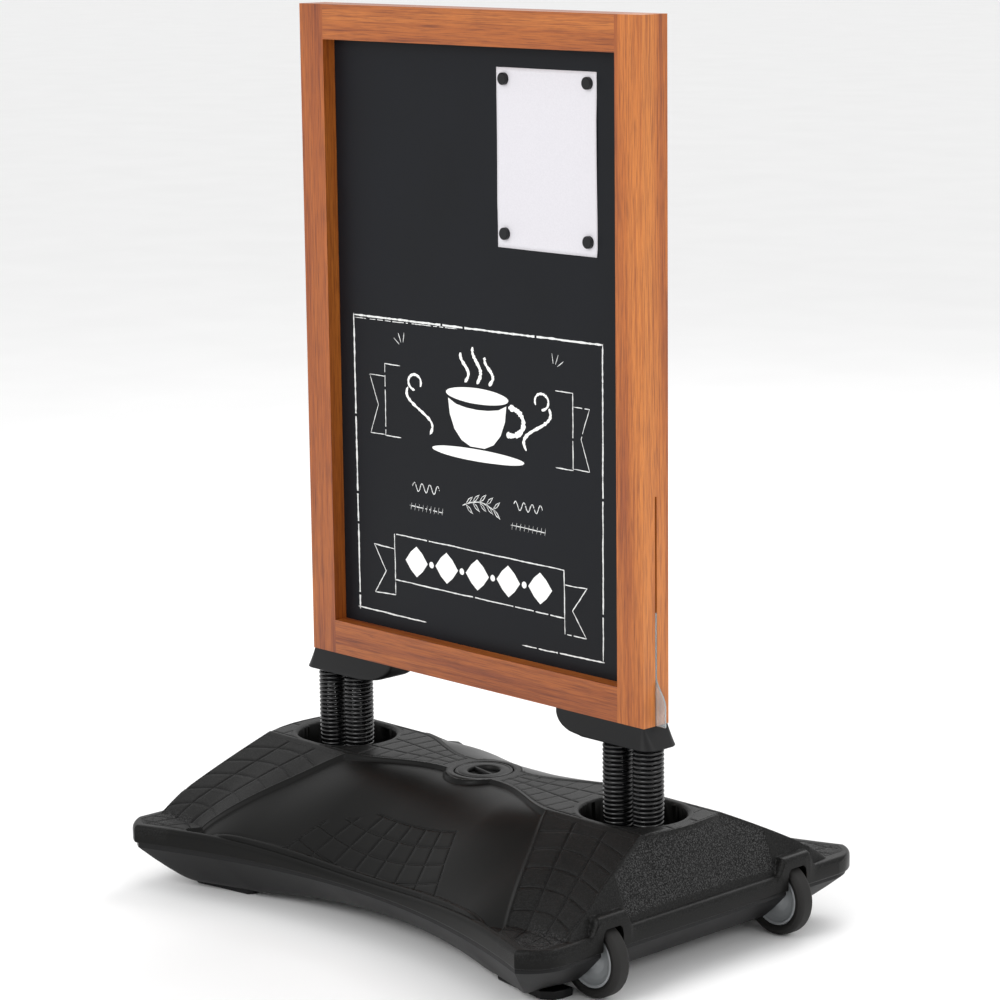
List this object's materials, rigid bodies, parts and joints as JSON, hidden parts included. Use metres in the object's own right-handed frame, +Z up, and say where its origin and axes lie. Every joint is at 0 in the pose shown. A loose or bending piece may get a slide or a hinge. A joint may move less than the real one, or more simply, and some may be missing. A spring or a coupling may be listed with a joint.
{
  "type": "sandwich board",
  "caption": "Pavement sign: a timber-framed black writing panel with a notice sheet held by magnets, on coil springs above a moulded fillable base with wheels.",
  "frame": {"origin": "middle of the whole part's footprint, on the ground", "axes": "+Z up; +X along the sign towards the wheeled end; the front face with the notice sheet looks towards -Y"},
  "size_m": [0.869, 0.6348, 1.24],
  "materials": {
    "timber": "oiled, satin",
    "dowel_wood": "plain",
    "board": "matt writing surface",
    "core": "plain",
    "sheet": "matt",
    "magnet": "satin",
    "clear_plastic": "clear, glossy",
    "bracket": "satin black",
    "plate": "zinc plated",
    "screw": "zinc plated",
    "spring": "gloss black",
    "base": "satin, moulded",
    "cap": "satin",
    "gasket": "matt",
    "spacer": "plain",
    "hub": "satin grey",
    "tyre": "matt"
  },
  "bodies": {
    "base": {"base_cover": "base", "base_pan": "base", "anchor_left": "plate", "anchor_right": "plate", "anchor_bolts": "screw", "wheel_pins": "screw", "pin_spacers": "spacer", "spring_left_outer": "spring", "spring_left_inner": "spring", "spring_right_inner": "spring", "spring_right_outer": "spring"},
    "sign": {"stile_left": "timber", "stile_right": "timber", "rail_top": "timber", "rail_bottom": "timber", "corner_dowels": "dowel_wood", "front_board": "board", "panel_core": "core", "back_board": "board", "notice_sheet": "sheet", "bracket_left": "bracket", "bracket_right": "bracket", "spring_plate_left": "plate", "spring_plate_right": "plate", "bracket_screws": "screw"},
    "strip": {"locking_strip": "clear_plastic"},
    "gasket": {"cap_gasket": "gasket"},
    "cap": {"filler_cap": "cap"},
    "wheel_front": {"hub_front": "hub", "tyre_front": "tyre"},
    "wheel_back": {"hub_back": "hub", "tyre_back": "tyre"},
    "magnet_top_left_disc": {"magnet_top_left": "magnet"},
    "magnet_top_right_disc": {"magnet_top_right": "magnet"},
    "magnet_bottom_left_disc": {"magnet_bottom_left": "magnet"},
    "magnet_bottom_right_disc": {"magnet_bottom_right": "magnet"}
  },
  "joints": [
    {"name": "sway", "type": "hinge", "parent": "base", "child": "sign", "pos_m": [-0.0095, 0, 0.204], "axis": [1, 0, 0], "range_deg": [-20, 20], "stiffness_Nm_per_rad": 300, "deforming": ["spring_left_outer", "spring_left_inner", "spring_right_inner", "spring_right_outer"]},
    {"name": "strip_pull", "type": "slide", "parent": "sign", "child": "strip", "axis": [1, 0, 0], "range_m": [0, 0.035]},
    {"name": "cap_lift", "type": "slide", "parent": "base", "child": "gasket", "axis": [0, 0, 1], "range_m": [0, 0.06]},
    {"name": "cap_turn", "type": "hinge", "parent": "gasket", "child": "cap", "pos_m": [-0.0095, 0, 0.189], "axis": [0, 0, 1], "continuous": true},
    {"name": "wheel_spin_front", "type": "hinge", "parent": "base", "child": "wheel_front", "pos_m": [0.3825, -0.177, 0.0525], "axis": [0, 1, 0], "continuous": true},
    {"name": "wheel_spin_back", "type": "hinge", "parent": "base", "child": "wheel_back", "pos_m": [0.3825, 0.177, 0.0525], "axis": [0, 1, 0], "continuous": true},
    {"name": "magnet_top_left_pull", "type": "slide", "parent": "sign", "child": "magnet_top_left_disc", "axis": [0, -1, 0], "range_m": [0, 0.03]},
    {"name": "magnet_top_right_pull", "type": "slide", "parent": "sign", "child": "magnet_top_right_disc", "axis": [0, -1, 0], "range_m": [0, 0.03]},
    {"name": "magnet_bottom_left_pull", "type": "slide", "parent": "sign", "child": "magnet_bottom_left_disc", "axis": [0, -1, 0], "range_m": [0, 0.03]},
    {"name": "magnet_bottom_right_pull", "type": "slide", "parent": "sign", "child": "magnet_bottom_right_disc", "axis": [0, -1, 0], "range_m": [0, 0.03]}
  ]
}
